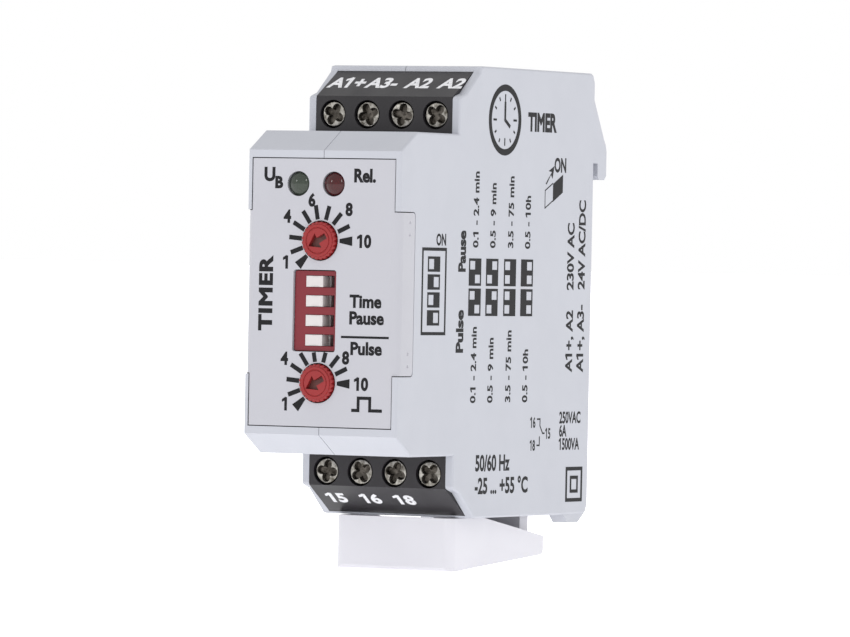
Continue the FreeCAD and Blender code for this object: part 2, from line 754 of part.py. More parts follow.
def film_capacitor():
    back = at(MAIN_BOARD[1])
    case = box(*FILM_CAP["x"], back, back + FILM_CAP["high"], *FILM_CAP["z"])
    return round_edges(case, 0.5, lambda m, e: m.y > back + 1)


def smoothing_capacitor():
    back = at(MAIN_BOARD[1])
    can = cylinder_y(ELKO["x"], ELKO["z"], back, back + ELKO["high"], ELKO["r"])
    groove = Part.makeTorus(ELKO["r"] + 0.25, 0.45, V(ELKO["x"], back + 1.6, ELKO["z"]), V(0, 1, 0))
    can = can.cut(groove)
    return round_edges(can, 0.4, lambda m, e: abs(m.y - back - ELKO["high"]) < 1e-3 and e.Length > 15)


def varistor():
    back = at(MAIN_BOARD[1])
    y = back + VARISTOR["r"] + 0.8
    start = V(VARISTOR["x"], y, VARISTOR["z"])
    disc = Part.makeCylinder(VARISTOR["r"], VARISTOR["thick"], start, V(1, 0, 0))
    disc = disc.makeFillet(0.8, [e for e in disc.Edges if e.Length > 10 and abs(e.BoundBox.XLength) < 1e-3])
    leads = []
    for dz in (-2.0, 2.0):
        x = VARISTOR["x"] + VARISTOR["thick"] / 2
        z = VARISTOR["z"] + dz
        leads.append(box(x - 0.3, x + 0.3, back, y, z - 0.3, z + 0.3))
    return fuse([disc] + leads)


def bridge_rectifier():
    back = at(MAIN_BOARD[1])
    case = box(-9.0, -0.8, back + 0.4, back + 3.6, -27.0, -22.5)
    legs = [
        box(x - 0.3, x + 0.3, back, back + 1.0, z - 0.3, z + 0.3)
        for x in (-8.2, -1.6)
        for z in (-26.2, -23.3)
    ]
    return fuse([case] + legs)


def resistors():
    """Row of four resistors lying across the lower part of the main board."""
    back = at(MAIN_BOARD[1])
    parts = []
    for z in RESISTOR_Z:
        body = Part.makeCylinder(0.95, 5.6, V(1.2, back + 1.6, z), V(1, 0, 0))
        ends = [Part.makeCylinder(1.12, 1.3, V(x, back + 1.6, z), V(1, 0, 0)) for x in (1.2, 5.5)]
        lead = Part.makeCylinder(0.25, 8.0, V(0.0, back + 1.6, z), V(1, 0, 0))
        feet = [box(x - 0.25, x + 0.25, back, back + 1.6, z - 0.25, z + 0.25) for x in (0.1, 7.9)]
        parts.append(fuse([body, lead] + ends + feet))
    return Part.makeCompound(parts)


def timer_chip():
    """Microcontroller on the back of the front board."""
    back = at(FRONT_BOARD[1])
    x = 6.2
    case = box(x - 2.0, x + 2.0, back + 0.15, back + 1.6, 0.6, 9.3)
    legs = []
    for index in range(7):
        z = 1.14 + 1.27 * index
        legs.append(box(x - 3.0, x - 1.8, back, back + 0.5, z - 0.2, z + 0.2))
        legs.append(box(x + 1.8, x + 3.0, back, back + 0.5, z - 0.2, z + 0.2))
    return fuse([case] + legs)


def relay_driver():
    """Small transistor on the front of the main board."""
    face = at(MAIN_BOARD[0])
    case = box(-7.4, -4.4, face - 1.2, face - 0.1, 6.0, 7.4)
    places = ((-6.85, 5.3), (-4.95, 5.3), (-5.9, 7.2))
    legs = [box(x - 0.2, x + 0.2, face - 0.5, face, z, z + 0.9) for x, z in places]
    return fuse([case] + legs)


# ---- rail latch ----

def rail_latch():
    """Sliding foot: a deep handle below the housing, a stem through its floor and the lower hook."""
    y_front = at(LATCH_FRONT)
    y_rear = at(LATCH_REAR)
    skirt = prism_x(
        [
            (y_front, LATCH_TOP),
            (y_front, LATCH_LOW_FRONT + 0.5),
            (y_front + 0.15, LATCH_LOW_FRONT + 0.15),
            (y_front + 0.5, LATCH_LOW_FRONT),
            (y_rear - 0.8, LATCH_LOW_REAR),
            (y_rear - 0.25, LATCH_LOW_REAR + 0.2),
            (y_rear, LATCH_LOW_REAR + 0.7),
            (y_rear, -32.2),
            (at(30.0), LATCH_TOP),
        ],
        -LATCH_HALF_X,
        LATCH_HALF_X,
    )
    skirt = round_edges(
        skirt,
        LATCH_CORNER,
        lambda m, e: abs(abs(m.x) - LATCH_HALF_X) < 1e-3 and abs(m.y - y_front) < 1e-3 and e.Length > 3,
    )
    inside = LATCH_HALF_X - LATCH_WALL
    hollow = prism_x(
        [
            (y_front + LATCH_WALL, LATCH_TOP + 1),
            (y_front + LATCH_WALL, LATCH_LOW_FRONT - 1),
            (at(31.0), LATCH_LOW_FRONT - 1),
            (at(31.0), LATCH_LOW_REAR - 0.05),
            (y_rear + 1, LATCH_LOW_REAR + 1.2),
            (y_rear + 1, LATCH_TOP + 1),
        ],
        -inside,
        inside,
    )
    handle = skirt.cut(hollow)
    reach = LATCH_HALF_X - LATCH_SKIN
    wire = WIRE_R + 0.2
    handle = handle.cut(box(-reach, reach, at(WIRE_DEPTH) - wire, at(WIRE_DEPTH) + wire, -45, -20))
    stem = box(
        -STEM_HALF_X, STEM_HALF_X, at(STEM_DEPTH[0]), at(STEM_DEPTH[1]), LATCH_LOW_REAR + 0.5, ARM_Z[1],
    )
    arm = prism_x(
        [
            (at(STEM_DEPTH[1]) - 0.5, ARM_Z[1]),
            (1.5, ARM_Z[1]),
            (1.5, -16.4),
            (1.75, -15.9),
            (2.1, -15.9),
            (3.7, -17.6),
            (3.7, -19.6),
            (2.9, ARM_Z[0]),
            (at(STEM_DEPTH[1]) - 0.5, ARM_Z[0]),
        ],
        -ARM_HALF_X,
        ARM_HALF_X,
    )
    return fuse([handle, stem, arm])


def latch_spring():
    """Compression spring between the housing's floor and the latch's arm, its wire many-sided."""
    low = BOTTOM + WALL + 0.02
    high = ARM_Z[0] - 0.02
    half = SPRING_WIRE / 2
    rise = high - low - 1.1 * SPRING_WIRE
    helix = Part.makeHelix(rise / SPRING_TURNS, rise, SPRING_R)
    corners = []
    for side in range(SPRING_SIDES + 1):
        turn = 2 * math.pi * side / SPRING_SIDES
        corners.append(V(SPRING_R + half * math.cos(turn), 0, half * math.sin(turn)))
    section = Part.makePolygon(corners)
    coil = Part.Wire(helix.Edges).makePipeShell([section], True, True)
    coil.translate(V(0, SPRING_Y, low + 1.1 * half))
    return coil


# ---- export ----

def parts():
    body = housing()
    made = {
        "left_shell": left_shell(body),
        "right_shell": right_shell(body),
        "rail_hook": rail_hook(),
        "front_plate": front_plate(),
        "upper_terminal_block": terminal_block(1),
        "lower_terminal_block": terminal_block(-1),
        "upper_current_bars": current_bars(1),
        "lower_current_bars": current_bars(-1),
        "upper_knob": knob(DIAL_Z[0]),
        "lower_knob": knob(DIAL_Z[1]),
        "upper_trimmer": trimmer_body(DIAL_Z[0]),
        "lower_trimmer": trimmer_body(DIAL_Z[1]),
        "dip_switch_body": dip_body(),
        "power_led": led(LED_X[0]),
        "relay_led": led(LED_X[1]),
        "front_board": front_board(),
        "main_board": main_board(),
        "link_header": link_header(),
        "link_pins": link_pins(),
        "relay_cover": relay_cover(),
        "relay_base": relay_base(),
        "relay_coil": relay_coil(),
        "relay_contacts": relay_contacts(),
        "film_capacitor": film_capacitor(),
        "smoothing_capacitor": smoothing_capacitor(),
        "varistor": varistor(),
        "bridge_rectifier": bridge_rectifier(),
        "resistors": resistors(),
        "timer_chip": timer_chip(),
        "relay_driver": relay_driver(),
        "rail_latch": rail_latch(),
        "latch_spring": latch_spring(),
    }
    for index in range(4):
        made[f"dip_slider_{index + 1}"] = dip_slider(index)
    for side, row in ((1, "upper"), (-1, "lower")):
        for index in range(POLES):
            made[f"{row}_screw_{index + 1}"] = terminal_screw(side, index, TURNS[side][index])
            made[f"{row}_cage_{index + 1}"] = clamp_cage(side, index)
    return made


os.makedirs("parts", exist_ok=True)
for name, shape in parts().items():
    solids = shape.Solids
    if not shape.isValid() or not solids or min(s.Volume for s in solids) <= 0:
        print("CHECK", name, shape.isValid(), len(solids))
    shape.exportStep(f"parts/{name}.step")
    print(f"{name:24s} solids {len(solids)} volume {shape.Volume:9.2f}")
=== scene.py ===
import json
import math

import bmesh
import bpy
from mathutils import Matrix, Vector


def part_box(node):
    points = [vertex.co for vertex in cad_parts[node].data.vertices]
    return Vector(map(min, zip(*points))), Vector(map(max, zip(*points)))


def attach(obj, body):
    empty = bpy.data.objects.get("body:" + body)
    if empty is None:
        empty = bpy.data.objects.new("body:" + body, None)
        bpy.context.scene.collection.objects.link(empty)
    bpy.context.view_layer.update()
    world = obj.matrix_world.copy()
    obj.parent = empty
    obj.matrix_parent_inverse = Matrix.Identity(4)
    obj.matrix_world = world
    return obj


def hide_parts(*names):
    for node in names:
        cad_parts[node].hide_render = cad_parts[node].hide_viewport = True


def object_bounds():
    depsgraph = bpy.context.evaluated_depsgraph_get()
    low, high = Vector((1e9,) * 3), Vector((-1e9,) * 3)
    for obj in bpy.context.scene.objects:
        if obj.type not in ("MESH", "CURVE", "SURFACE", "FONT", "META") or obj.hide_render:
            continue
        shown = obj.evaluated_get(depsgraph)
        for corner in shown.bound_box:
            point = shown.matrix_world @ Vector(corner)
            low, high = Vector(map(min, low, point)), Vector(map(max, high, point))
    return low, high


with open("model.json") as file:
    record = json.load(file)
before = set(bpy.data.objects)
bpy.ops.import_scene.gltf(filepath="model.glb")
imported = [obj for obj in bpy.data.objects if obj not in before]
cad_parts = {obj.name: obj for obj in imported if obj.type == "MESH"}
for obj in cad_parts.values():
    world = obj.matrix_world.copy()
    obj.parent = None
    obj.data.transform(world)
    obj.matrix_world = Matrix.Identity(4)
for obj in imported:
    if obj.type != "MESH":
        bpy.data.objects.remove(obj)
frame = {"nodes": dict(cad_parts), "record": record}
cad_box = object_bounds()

MM = 0.001
NODES = frame["nodes"]
RECORD = frame["record"]

# ---- sizes read from the frame, in metres ----

SIDE_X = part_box("right_shell")[1].x
FRONT_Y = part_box("front_plate")[0].y


def middle(node):
    low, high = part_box(node)
    return (low + high) / 2


# ---- colours ----


def srgb(red, green, blue):
    """A colour given in 0-255 display values, as linear RGBA."""
    linear = []
    for value in (red, green, blue):
        value /= 255
        linear.append(value / 12.92 if value <= 0.04045 else ((value + 0.055) / 1.055) ** 2.4)
    return (*linear, 1.0)


def shade(colour, factor):
    return (colour[0] * factor, colour[1] * factor, colour[2] * factor, 1.0)


# ---- materials ----


class Nodes:
    """A small helper round one material's node tree."""

    def __init__(self, name):
        self.material = bpy.data.materials.new(name)
        self.material.use_nodes = True
        self.tree = self.material.node_tree
        self.shader = self.tree.nodes["Principled BSDF"]
        self.coords = self.add("ShaderNodeTexCoord").outputs["Object"]

    def add(self, kind, **settings):
        node = self.tree.nodes.new(kind)
        for key, value in settings.items():
            setattr(node, key, value)
        return node

    def link(self, source, target):
        self.tree.links.new(source, target)

    def noise(self, size_mm, detail=3.0, roughness=0.5, stretch=(1, 1, 1), seed=0.0):
        """Noise whose features are about size_mm across; returns its value output."""
        mapping = self.add("ShaderNodeMapping")
        mapping.inputs["Location"].default_value = (seed, seed * 0.7, seed * 1.3)
        mapping.inputs["Scale"].default_value = stretch
        self.link(self.coords, mapping.inputs["Vector"])
        noise = self.add("ShaderNodeTexNoise")
        noise.inputs["Scale"].default_value = 1 / (size_mm * MM)
        noise.inputs["Detail"].default_value = detail
        noise.inputs["Roughness"].default_value = roughness
        self.link(mapping.outputs["Vector"], noise.inputs["Vector"])
        return noise.outputs["Fac"]

    def ramp(self, value, stops):
        """Colour ramp through stops of (place, colour)."""
        ramp = self.add("ShaderNodeValToRGB")
        elements = ramp.color_ramp.elements
        while len(elements) < len(stops):
            elements.new(0.5)
        for element, (place, colour) in zip(elements, stops):
            element.position = place
            element.color = colour
        self.link(value, ramp.inputs["Fac"])
        return ramp.outputs["Color"]

    def spread(self, value, low, high, start=0.3, end=0.7):
        """Maps a 0-1 value onto low-high."""
        ranged = self.add("ShaderNodeMapRange")
        ranged.inputs["From Min"].default_value = start
        ranged.inputs["From Max"].default_value = end
        ranged.inputs["To Min"].default_value = low
        ranged.inputs["To Max"].default_value = high
        self.link(value, ranged.inputs["Value"])
        return ranged.outputs["Result"]

    def mix(self, value, first, second, blend="MIX"):
        mix = self.add("ShaderNodeMix", data_type="RGBA", blend_type=blend)
        for name, given in (("Factor", value), ("A", first), ("B", second)):
            socket = mix.inputs[name]
            if isinstance(given, (tuple, float, int)):
                socket.default_value = given
            else:
                self.link(given, socket)
        return mix.outputs["Result"]

    def bump(self, height, depth_mm, strength=1.0, under=None):
        bump = self.add("ShaderNodeBump")
        bump.inputs["Strength"].default_value = strength
        bump.inputs["Distance"].default_value = depth_mm * MM
        self.link(height, bump.inputs["Height"])
        if under is not None:
            self.link(under, bump.inputs["Normal"])
        return bump.outputs["Normal"]

    def finish(self, **sockets):
        for name, value in sockets.items():
            socket = self.shader.inputs[name.replace("_", " ")]
            if hasattr(value, "links"):
                self.link(value, socket)
            else:
                socket.default_value = value
        return self.material


def moulded(name, colour, rough=0.45, grain_depth=0.004, mottle=0.03, specular=0.5):
    """Injection-moulded plastic: spark-eroded grain, faint flow mottling and uneven gloss."""
    n = Nodes(name)
    flow = n.noise(9.0, detail=2.0)
    tint = n.ramp(flow, [(0.3, shade(colour, 1 - mottle)), (0.7, shade(colour, 1 + mottle))])
    fleck = n.noise(0.12, detail=1.0, seed=3.0)
    tint = n.mix(n.spread(fleck, 0.0, 0.06, 0.55, 0.8), tint, shade(colour, 0.82))
    grain = n.noise(0.16, detail=2.0, roughness=0.6)
    wave = n.noise(14.0, detail=0.0, seed=5.0)
    normal = n.bump(wave, 0.03, 0.5)
    normal = n.bump(grain, grain_depth, 1.0, under=normal)
    gloss = n.spread(n.noise(3.5, detail=3.0, seed=7.0), rough - 0.05, rough + 0.06)
    return n.finish(Base_Color=tint, Roughness=gloss, Normal=normal, Specular_IOR_Level=specular)


def metal(name, colour, rough=0.3, scratch_mm=0.05, stain=None):
    """Plated metal with fine tool marks and dull stains."""
    n = Nodes(name)
    marks = n.noise(scratch_mm, detail=4.0, stretch=(1, 6, 1))
    blotch = n.noise(0.9, detail=5.0, roughness=0.65, seed=2.0)
    tint = n.ramp(blotch, [(0.35, stain or shade(colour, 0.6)), (0.6, colour)])
    gloss = n.spread(blotch, rough + 0.18, rough, 0.35, 0.65)
    normal = n.bump(marks, 0.004, 0.6)
    return n.finish(Base_Color=tint, Metallic=1.0, Roughness=gloss, Normal=normal)


def laminate():
    """Green solder lacquer over woven glass, with copper tracks showing as a faint relief."""
    n = Nodes("board_laminate")
    weave = n.add("ShaderNodeTexChecker")
    weave.inputs["Scale"].default_value = 1 / (0.5 * MM)
    n.link(n.coords, weave.inputs["Vector"])
    tracks = n.add("ShaderNodeTexBrick")
    tracks.inputs["Scale"].default_value = 1 / (4.2 * MM)
    tracks.inputs["Mortar Size"].default_value = 0.03
    n.link(n.coords, tracks.inputs["Vector"])
    base = n.mix(n.spread(n.noise(2.5, seed=4.0), 0.0, 1.0), srgb(22, 92, 48), srgb(30, 108, 58))
    base = n.mix(n.spread(tracks.outputs["Fac"], 0.0, 0.5, 0.0, 1.0), base, srgb(52, 132, 78))
    normal = n.bump(weave.outputs["Fac"], 0.01, 0.4)
    normal = n.bump(tracks.outputs["Fac"], 0.03, 0.6, under=normal)
    return n.finish(Base_Color=base, Roughness=0.32, Normal=normal, Coat_Weight=0.3, Coat_Roughness=0.15)


def winding():
    """Enamelled copper wire, its turns a fine ripple along the bobbin."""
    n = Nodes("copper_winding")
    turns = n.add("ShaderNodeTexWave", wave_type="BANDS", bands_direction="Z")
    turns.inputs["Scale"].default_value = 1 / (0.9 * MM)
    turns.inputs["Distortion"].default_value = 0.6
    n.link(n.coords, turns.inputs["Vector"])
    tint = n.ramp(turns.outputs["Fac"], [(0.1, srgb(96, 42, 20)), (0.8, srgb(186, 98, 52))])
    normal = n.bump(turns.outputs["Fac"], 0.05, 0.8)
    return n.finish(Base_Color=tint, Metallic=0.85, Roughness=0.3, Normal=normal, Coat_Weight=0.5)


def dipped(name, colour, rough=0.25):
    """Dipped or shrunk coating: smooth, glossy, slightly lumpy."""
    n = Nodes(name)
    lumps = n.noise(2.2, detail=1.0)
    fine = n.noise(0.25, detail=2.0, seed=6.0)
    tint = n.ramp(lumps, [(0.3, shade(colour, 0.85)), (0.7, shade(colour, 1.12))])
    normal = n.bump(lumps, 0.12, 0.5)
    normal = n.bump(fine, 0.006, 0.6, under=normal)
    gloss = n.spread(fine, rough - 0.05, rough + 0.08)
    return n.finish(Base_Color=tint, Roughness=gloss, Normal=normal, Coat_Weight=0.2, Coat_Roughness=0.1)


def lens(name, colour, painted_shade):
    """Tinted epoxy lamp body: glossy, cloudy inside, with painted shade darkening it towards its outline as
    seen.
    """
    n = Nodes(name)
    rim = n.add("ShaderNodeLayerWeight")
    rim.inputs["Blend"].default_value = 0.35
    # Painted shade: the tint turns to the dark rim colour towards the outline as seen.
    tint = n.mix(rim.outputs["Facing"], colour, painted_shade)
    cloud = n.noise(0.6, detail=2.0)
    tint = n.mix(n.spread(cloud, 0.0, 0.25), tint, shade(colour, 1.25))
    normal = n.bump(n.noise(0.9, detail=1.0, seed=8.0), 0.01, 0.5)
    return n.finish(
        Base_Color=tint,
        Roughness=0.12,
        Normal=normal,
        Specular_IOR_Level=0.3,
        Subsurface_Weight=0.2,
        Subsurface_Radius=(1.0, 1.0, 1.0),
        Subsurface_Scale=0.5 * MM,
        Coat_Weight=0.25,
        Coat_Roughness=0.04,
    )


def ink(name, colour):
    """Pad-printed ink: satin, a little thin in places, with a slightly rough skin."""
    n = Nodes(name)
    cover = n.noise(0.35, detail=3.0)
    tint = n.ramp(cover, [(0.35, colour), (0.8, shade(colour, 1.5))])
    normal = n.bump(n.noise(0.1, detail=2.0, seed=9.0), 0.004, 0.6)
    return n.finish(Base_Color=tint, Roughness=0.55, Normal=normal, Specular_IOR_Level=0.2)


LOOKS = {
    "housing_plastic": moulded("housing_plastic", srgb(173, 175, 183), rough=0.42, mottle=0.012),
    "plate_plastic": moulded(
        "plate_plastic", srgb(171, 171, 178), rough=0.38, grain_depth=0.003, mottle=0.012
    ),
    "terminal_plastic": moulded(
        "terminal_plastic", srgb(40, 38, 41), rough=0.38, grain_depth=0.004, mottle=0.08, specular=0.3
    ),
    "latch_plastic": moulded(
        "latch_plastic", srgb(206, 205, 211), rough=0.4, grain_depth=0.003, mottle=0.015
    ),
    "knob_plastic": moulded(
        "knob_plastic", srgb(136, 32, 34), rough=0.32, grain_depth=0.002, mottle=0.06, specular=0.35
    ),
    "switch_plastic": moulded(
        "switch_plastic", srgb(112, 28, 38), rough=0.34, grain_depth=0.002, mottle=0.06, specular=0.35
    ),
    "slider_plastic": moulded(
        "slider_plastic", srgb(198, 193, 193), rough=0.35, grain_depth=0.002, mottle=0.02
    ),
    # The second colour of each lamp is its painted rim shade.
    "green_lens": lens("green_lens", srgb(50, 58, 49), srgb(8, 11, 8)),
    "red_lens": lens("red_lens", srgb(62, 6, 11), srgb(12, 2, 3)),
    "screw_steel": metal("screw_steel", srgb(170, 167, 161), rough=0.26, stain=srgb(84, 80, 72)),
    "cage_steel": metal("cage_steel", srgb(186, 188, 190), rough=0.34),
    "contact_brass": metal("contact_brass", srgb(214, 196, 148), rough=0.3, stain=srgb(170, 140, 86)),
    "board_laminate": laminate(),
    "black_plastic": moulded("black_plastic", srgb(34, 34, 36), rough=0.42, mottle=0.08),
    "pin_metal": metal("pin_metal", srgb(214, 210, 200), rough=0.25),
    "trimmer_plastic": moulded("trimmer_plastic", srgb(214, 210, 202), rough=0.42),
    "relay_plastic": moulded("relay_plastic", srgb(40, 56, 92), rough=0.25, mottle=0.06),
    "copper_winding": winding(),
    "capacitor_case": moulded("capacitor_case", srgb(206, 164, 46), rough=0.28, mottle=0.05),
    "capacitor_sleeve": dipped("capacitor_sleeve", srgb(36, 42, 66)),
    "varistor_coat": dipped("varistor_coat", srgb(40, 84, 146)),
    "resistor_coat": dipped("resistor_coat", srgb(112, 150, 168)),
    "spring_steel": metal("spring_steel", srgb(170, 172, 176), rough=0.22, scratch_mm=0.08),
}
# Dark ink for the print, also used for the painted shadow strip in the gap round the front plate.
DARK_INK_AND_SEAM_SHADOW = ink("dark_ink_and_seam_shadow", srgb(16, 16, 19))
WHITE_INK = ink("white_ink", srgb(200, 200, 203))
# Darker metal for the floors of the screw recesses: painted shade.
RECESS_SHADE_METAL = metal("recess_shade_metal", srgb(100, 95, 89), rough=0.42, stain=srgb(52, 48, 43))
# Darker red for the floor of the knob's arrow recess: painted shade.
ARROW_RECESS_SHADE = moulded("arrow_recess_shade", srgb(84, 34, 28), rough=0.45, grain_depth=0.002, mottle=0.05)


# ---- mesh work ----


def piece(name, mesh, material, body, smooth_degrees=35):
    made = bmesh.new()
    made.from_mesh(mesh)
    bmesh.ops.remove_doubles(made, verts=made.verts, dist=0.0005 * MM)
    bmesh.ops.recalc_face_normals(made, faces=made.faces)
    made.to_mesh(mesh)
    made.free()
    mesh.materials.clear()
    mesh.materials.append(material)
    mesh.polygons.foreach_set("use_smooth", [True] * len(mesh.polygons))
    mesh.set_sharp_from_angle(angle=math.radians(smooth_degrees))
    found = bpy.data.objects.new(name, mesh)
    bpy.context.scene.collection.objects.link(found)
    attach(found, body)
    return found


class Print:
    """Ink on one flat face: shapes drawn in millimetres across (u) and up (v) the face."""

    PROUD = 0.014 * MM
    SUNK = 0.012 * MM

    def __init__(self, origin, across, up):
        across, up = Vector(across).normalized(), Vector(up).normalized()
        out = across.cross(up)
        self.place = Matrix.Translation(Vector(origin)) @ Matrix((across, up, out)).transposed().to_4x4()
        self.made = bmesh.new()
        self.layer = 0

    def outlines(self, rows):
        """A filled 2D curve of closed outlines in mm; inner ones are holes."""
        curve = bpy.data.curves.new("outline", "CURVE")
        curve.dimensions = "2D"
        curve.fill_mode = "BOTH"
        for row in rows:
            spline = curve.splines.new("POLY")
            spline.points.add(len(row) - 1)
            for point, (u, v) in zip(spline.points, row):
                point.co = (u * MM, v * MM, 0, 1)
            spline.use_cyclic_u = True
        return curve

    def polygon(self, points, holes=()):
        """A filled outline with optional holes."""
        self.take(self.outlines((points, *holes)), Matrix.Identity(4))

    def mesh_of(self, curve):
        """The filled mesh of a curve, which is then removed."""
        holder = bpy.data.objects.new("film", curve)
        bpy.context.scene.collection.objects.link(holder)
        bpy.context.view_layer.update()
        shown = holder.evaluated_get(bpy.context.evaluated_depsgraph_get())
        mesh = bpy.data.meshes.new_from_object(shown)
        bpy.data.objects.remove(holder)
        bpy.data.curves.remove(curve)
        return mesh

    def take(self, curve, turn):
        """Adds a filled 2D curve as a thin closed film, a hair higher than the one before it."""
        curve.extrude = 0.01 * MM
        mesh = self.mesh_of(curve)
        tall = max((abs(vertex.co.z) for vertex in mesh.vertices), default=1.0)
        proud = self.PROUD + (self.layer % 5) * 0.0012 * MM
        self.layer += 1
        lift = Matrix.Translation((0, 0, (proud - self.SUNK) / 2))
        flat = Matrix.Diagonal((1, 1, (proud + self.SUNK) / 2 / tall, 1))
        mesh.transform(self.place @ turn @ lift @ flat)
        self.made.from_mesh(mesh)
        bpy.data.meshes.remove(mesh)

    def rect(self, u0, v0, u1, v1):
        self.polygon([(u0, v0), (u1, v0), (u1, v1), (u0, v1)])

    def frame(self, u0, v0, u1, v1, line):
        a0, b0, a1, b1 = u0 + line, v0 + line, u1 - line, v1 - line
        self.polygon([(u0, v0), (u1, v0), (u1, v1), (u0, v1)], [[(a0, b0), (a1, b0), (a1, b1), (a0, b1)]])

    def line(self, points, width):
        """A stroke of even width along straight runs, mitred at its corners, as one outline."""
        spots = [Vector(point) for point in points]
        runs = [(b - a).normalized() for a, b in zip(spots, spots[1:])]
        left, right = [], []
        for index, spot in enumerate(spots):
            before, after = runs[max(index - 1, 0)], runs[min(index, len(runs) - 1)]
            along = (before + after).normalized()
            side = Vector((-along.y, along.x)) * (width / 2 / max(along.dot(after), 0.3))
            left.append(tuple(spot + side))
            right.append(tuple(spot - side))
        self.polygon(left + right[::-1])

    def lettering(self, words, height, align, bold, gap):
        curve = bpy.data.curves.new("text", "FONT")
        curve.body = words
        curve.size = height * MM / CAPITAL
        curve.align_x = align
        curve.bevel_depth = bold * MM
        curve.bevel_resolution = 0
        curve.space_character = gap
        curve.resolution_u = 4
        return curve

    def reach(self, words, height, align, gap):
        """Left and right end of plain lettering, in mm from its anchor."""
        mesh = self.mesh_of(self.lettering(words, height, align, 0, gap))
        ends = [vertex.co.x / MM for vertex in mesh.vertices]
        bpy.data.meshes.remove(mesh)
        return min(ends), max(ends)

    def text(self, words, u, v, height, align="CENTER", turn=0, squeeze=1.0, bold=0.0, gap=1.0):
        """Lettering of a given capital height, centred on v (or u, when turned); a 1 gets its flag."""
        place = Matrix.Translation((u * MM, v * MM, 0)) @ Matrix.Rotation(math.radians(turn), 4, "Z")
        place = place @ Matrix.Translation((0, -height * MM / 2, 0)) @ Matrix.Diagonal((squeeze, 1, 1, 1))
        self.take(self.lettering(words, height, align, bold, gap), place)
        if "1" not in words:
            return
        shift = self.reach(words, height, align, gap)[0] - self.reach(words, height, "LEFT", gap)[0]
        bar = 0.12 * height
        for index, letter in enumerate(words):
            if letter != "1":
                continue
            right = self.reach(words[: index + 1], height, "LEFT", gap)[1] + shift
            root, tip = right - bar * 0.6, right - bar - 0.26 * height - bold
            flag = [
                (root, height + bold * 0.7),
                (tip, 0.80 * height + bold * 0.6),
                (tip, 0.66 * height - bold * 0.6),
                (root, 0.82 * height - bold * 0.8),
            ]
            self.take(self.outlines([flag]), place)

    def finish(self, name, material, body, slot):
        mesh = bpy.data.meshes.new(name)
        self.made.to_mesh(mesh)
        self.made.free()
        return piece(name, mesh, material, body, smooth_degrees=30)


CAPITAL = 0.729


# ---- printed faces ----

DIAL = {"upper": middle("upper_knob"), "lower": middle("lower_knob")}
TICKS = 10
TICK_START = -135
TICK_STEP = 25
TICK_INNER = 2.78
TICK_OUTER = 4.65
TICK_WIDTH = 0.6
SCALE_SHIFT = 0.08
SEAM_IN = 0.065
SEAM_WIDE = 0.1
SEAM_BED = 0.3
SEAM_PROUD = 0.16
SEAM_SUNK = 0.2
SEAM_PROUD_AT_LUG = -0.1
SEAM_AT_LUG = (0.1, 0.5)
WEDGE_HALF = (0.25, 0.62)
NUMERAL = 1.62
NUMERALS = {"1": (-4.95, -2.8), "4": (-4.95, 3.15), "6": (-1.4, 5.3), "8": (4.1, 4.15), "10": (6.4, 0.05)}
LOWER_NUMERALS = {"1": (-4.7, -2.75), "4": (-5.0, 3.15), "8": (4.0, 3.4), "10": (6.35, 0.05)}


def dial_scale(print_, centre, numerals, ceiling):
    """Ten ticks round a knob, wedges at both ends, and its numbers; ticks stop short of the ceiling."""
    cu, cv = centre.x / MM + SCALE_SHIFT, centre.z / MM
    for tick in range(TICKS):
        angle = math.radians(TICK_START + TICK_STEP * tick)
        out = Vector((math.sin(angle), math.cos(angle)))
        side = Vector((out.y, -out.x))
        outer = TICK_OUTER
        if out.y > 0:
            outer = min(outer, (ceiling - cv) / out.y)
        inner_half = outer_half = TICK_WIDTH / 2
        if tick in (0, TICKS - 1):
            inner_half, outer_half = WEDGE_HALF
        c = Vector((cu, cv))
        corners = [
            c + out * TICK_INNER - side * inner_half,
            c + out * outer - side * outer_half,
            c + out * outer + side * outer_half,
            c + out * TICK_INNER + side * inner_half,
        ]
        print_.polygon([tuple(corner) for corner in corners])
    for number, (u, v) in numerals.items():
        print_.text(number, cu + u, cv + v, NUMERAL, bold=0.11, squeeze=0.9)


def front_print():
    """Scales, lamp letters, plain words and a pulse sign on the front plate."""
    p = Print((0, FRONT_Y, 0), (1, 0, 0), (0, 0, 1))
    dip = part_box("dip_switch_body")
    dial_scale(p, DIAL["upper"], NUMERALS, 99)
    dial_scale(p, DIAL["lower"], LOWER_NUMERALS, dip[0].z / MM - 0.2)
    p.text("U", -7.95, 15.35, 1.75, bold=0.11)
    p.text("B", -6.6, 14.3, 1.5, bold=0.11)
    p.text("Rel.", 6.05, 15.3, 1.7, bold=0.11, squeeze=0.92)
    p.text("TIMER", -8.3, -0.25, 1.95, turn=90, bold=0.13, squeeze=1.2, gap=1.1)
    p.text("Time", 4.2, -0.95, 1.65, align="LEFT", bold=0.095, squeeze=0.98)
    p.text("Pause", 4.1, -3.1, 1.65, align="LEFT", bold=0.095, squeeze=0.98)
    p.text("Pulse", 4.35, -7.05, 1.65, align="LEFT", bold=0.095, squeeze=0.98)
    p.rect(3.0, -5.8, 10.0, -5.5)
    p.line([(4.7, -15.1), (5.7, -15.1), (5.7, -13.5), (7.4, -13.5), (7.4, -15.1), (9.2, -15.1)], 0.42)
    return p.finish("front_print", DARK_INK_AND_SEAM_SHADOW, "housing", "plate_plastic")


